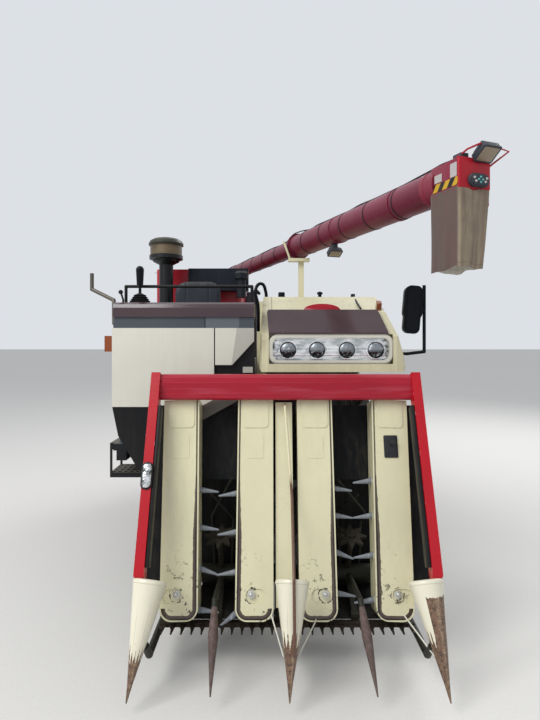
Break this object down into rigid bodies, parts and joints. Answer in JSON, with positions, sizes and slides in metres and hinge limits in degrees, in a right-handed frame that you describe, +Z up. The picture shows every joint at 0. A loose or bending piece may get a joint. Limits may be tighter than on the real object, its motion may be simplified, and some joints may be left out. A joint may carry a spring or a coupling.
{
  "type": "head-feeding combine harvester on rubber tracks",
  "caption": "Rice combine on rubber tracks that gathers standing rows between raking cases, threshes the ears and unloads grain through a swinging auger.",
  "frame": {"origin": "on the ground under the centre of the machine's box", "axes": "+Z up, -Y towards the front of the header, +X towards the threshing side, away from the operator"},
  "size_m": [2.172, 4.5051, 2.5005],
  "materials": {
    "black_frame": "satin",
    "track_rubber": "matt",
    "bare_steel": "worn",
    "grey_casting": "painted",
    "dark_grey": "satin",
    "white_panel": "gloss",
    "headlight_plastic": "gloss",
    "headlight_chrome": "bright",
    "brown_band": "gloss",
    "black_plastic": "satin",
    "seat_vinyl": "satin",
    "cream_panel": "gloss, worn",
    "crimson_paint": "gloss, faded",
    "maroon_paint": "faded",
    "orange_lens": "clear",
    "tine_blue": "matt",
    "rusty_steel": "rusty",
    "sleeve_cloth": "dirty"
  },
  "bodies": {
    "machine": {"chassis_frame": "black_frame", "track_frames": "black_frame", "track_left": "track_rubber", "track_right": "track_rubber", "drive_sprockets": "bare_steel", "transmission_case": "grey_casting", "engine_block": "dark_grey", "operator_platform": "black_frame", "front_panels": "white_panel", "console_band": "brown_band", "console_box": "dark_grey", "lower_skirt": "black_frame", "side_console": "dark_grey", "steering_lever": "black_plastic", "control_levers": "black_frame", "seat_frame": "black_frame", "seat_cushions": "seat_vinyl", "engine_hood": "cream_panel", "pre_cleaner": "brown_band", "grain_tank": "crimson_paint", "air_duct": "dark_grey", "threshing_housing": "cream_panel", "threshing_drum": "bare_steel", "feed_chain": "bare_steel", "side_covers": "cream_panel", "straw_cutter": "crimson_paint", "grain_elevator": "dark_grey", "headlight_cowl": "cream_panel", "visor": "brown_band", "headlight_unit": "headlight_plastic", "headlight_reflector": "headlight_chrome", "mirror": "black_plastic", "grab_rail": "bare_steel", "turn_signals": "orange_lens", "auger_rest": "cream_panel", "auger_brackets": "dark_grey"},
    "header": {"header_frame": "black_frame", "raking_cases": "cream_panel", "rake_tines": "tine_blue", "top_bar": "crimson_paint", "side_rails": "crimson_paint", "divider_cones": "cream_panel", "small_dividers": "rusty_steel", "rail_trim": "black_frame", "centre_guide": "cream_panel", "cutter_bar": "bare_steel", "star_wheels": "cream_panel", "stalk_conveyor": "dark_grey"},
    "header_cylinder_barrel": {"header_cylinder_barrel": "black_frame"},
    "header_cylinder_rod": {"header_cylinder_rod": "bare_steel"},
    "auger_column": {"auger_column": "maroon_paint"},
    "auger_boom": {"auger_tube": "maroon_paint", "spout_box": "crimson_paint", "spout_sleeve": "sleeve_cloth", "spout_lamps": "dark_grey"},
    "auger_cylinder_barrel": {"auger_cylinder_barrel": "black_frame"},
    "auger_cylinder_rod": {"auger_cylinder_rod": "bare_steel"},
    "drum_cover": {"drum_cover": "cream_panel", "feed_rail": "bare_steel"},
    "radiator_door": {"radiator_door": "cream_panel"}
  },
  "joints": [
    {"name": "header_lift", "type": "hinge", "parent": "machine", "child": "header", "pos_m": [0.136, -0.6, 0.95], "axis": [-1, 0, 0], "range_deg": [0, 16]},
    {"name": "header_cylinder_turn", "type": "hinge", "parent": "machine", "child": "header_cylinder_barrel", "pos_m": [0.136, -0.945, 0.34], "axis": [-1, 0, 0], "range_deg": [0, 8.49]},
    {"name": "header_cylinder_slide", "type": "slide", "parent": "header_cylinder_barrel", "child": "header_cylinder_rod", "axis": [0, -0.7261, 0.6876], "range_m": [0, 0.1901]},
    {"name": "auger_swing", "type": "hinge", "parent": "machine", "child": "auger_column", "pos_m": [-0.586, 1.76, 0.8], "axis": [0, 0, 1], "range_deg": [0, 250]},
    {"name": "auger_lift", "type": "hinge", "parent": "auger_column", "child": "auger_boom", "pos_m": [-0.586, 1.76, 2.335], "axis": [-0.9336, -0.3584, 0], "range_deg": [0, 40]},
    {"name": "auger_cylinder_turn", "type": "hinge", "parent": "auger_column", "child": "auger_cylinder_barrel", "pos_m": [-0.53941, 1.63863, 1.84], "axis": [-0.9336, -0.3584, 0], "range_deg": [0, 19.48]},
    {"name": "auger_cylinder_slide", "type": "slide", "parent": "auger_cylinder_barrel", "child": "auger_cylinder_rod", "axis": [0.2411, -0.628, 0.7399], "range_m": [0, 0.2752]},
    {"name": "drum_cover_open", "type": "hinge", "parent": "machine", "child": "drum_cover", "pos_m": [0.06, 0.5, 1.416], "axis": [0, -1, 0], "range_deg": [0, 45]},
    {"name": "radiator_door_open", "type": "hinge", "parent": "machine", "child": "radiator_door", "pos_m": [-0.914, 0.07, 1.087], "axis": [0, 0, -1], "range_deg": [0, 90]}
  ],
  "couplings": [
    {"joint": "header_cylinder_turn", "follows": "header_lift", "ratio": 0.49956},
    {"joint": "header_cylinder_slide", "follows": "header_lift", "m_per_rad": 0.6699},
    {"joint": "auger_cylinder_turn", "follows": "auger_lift", "ratio": 0.47442},
    {"joint": "auger_cylinder_slide", "follows": "auger_lift", "m_per_rad": 0.38989}
  ]
}
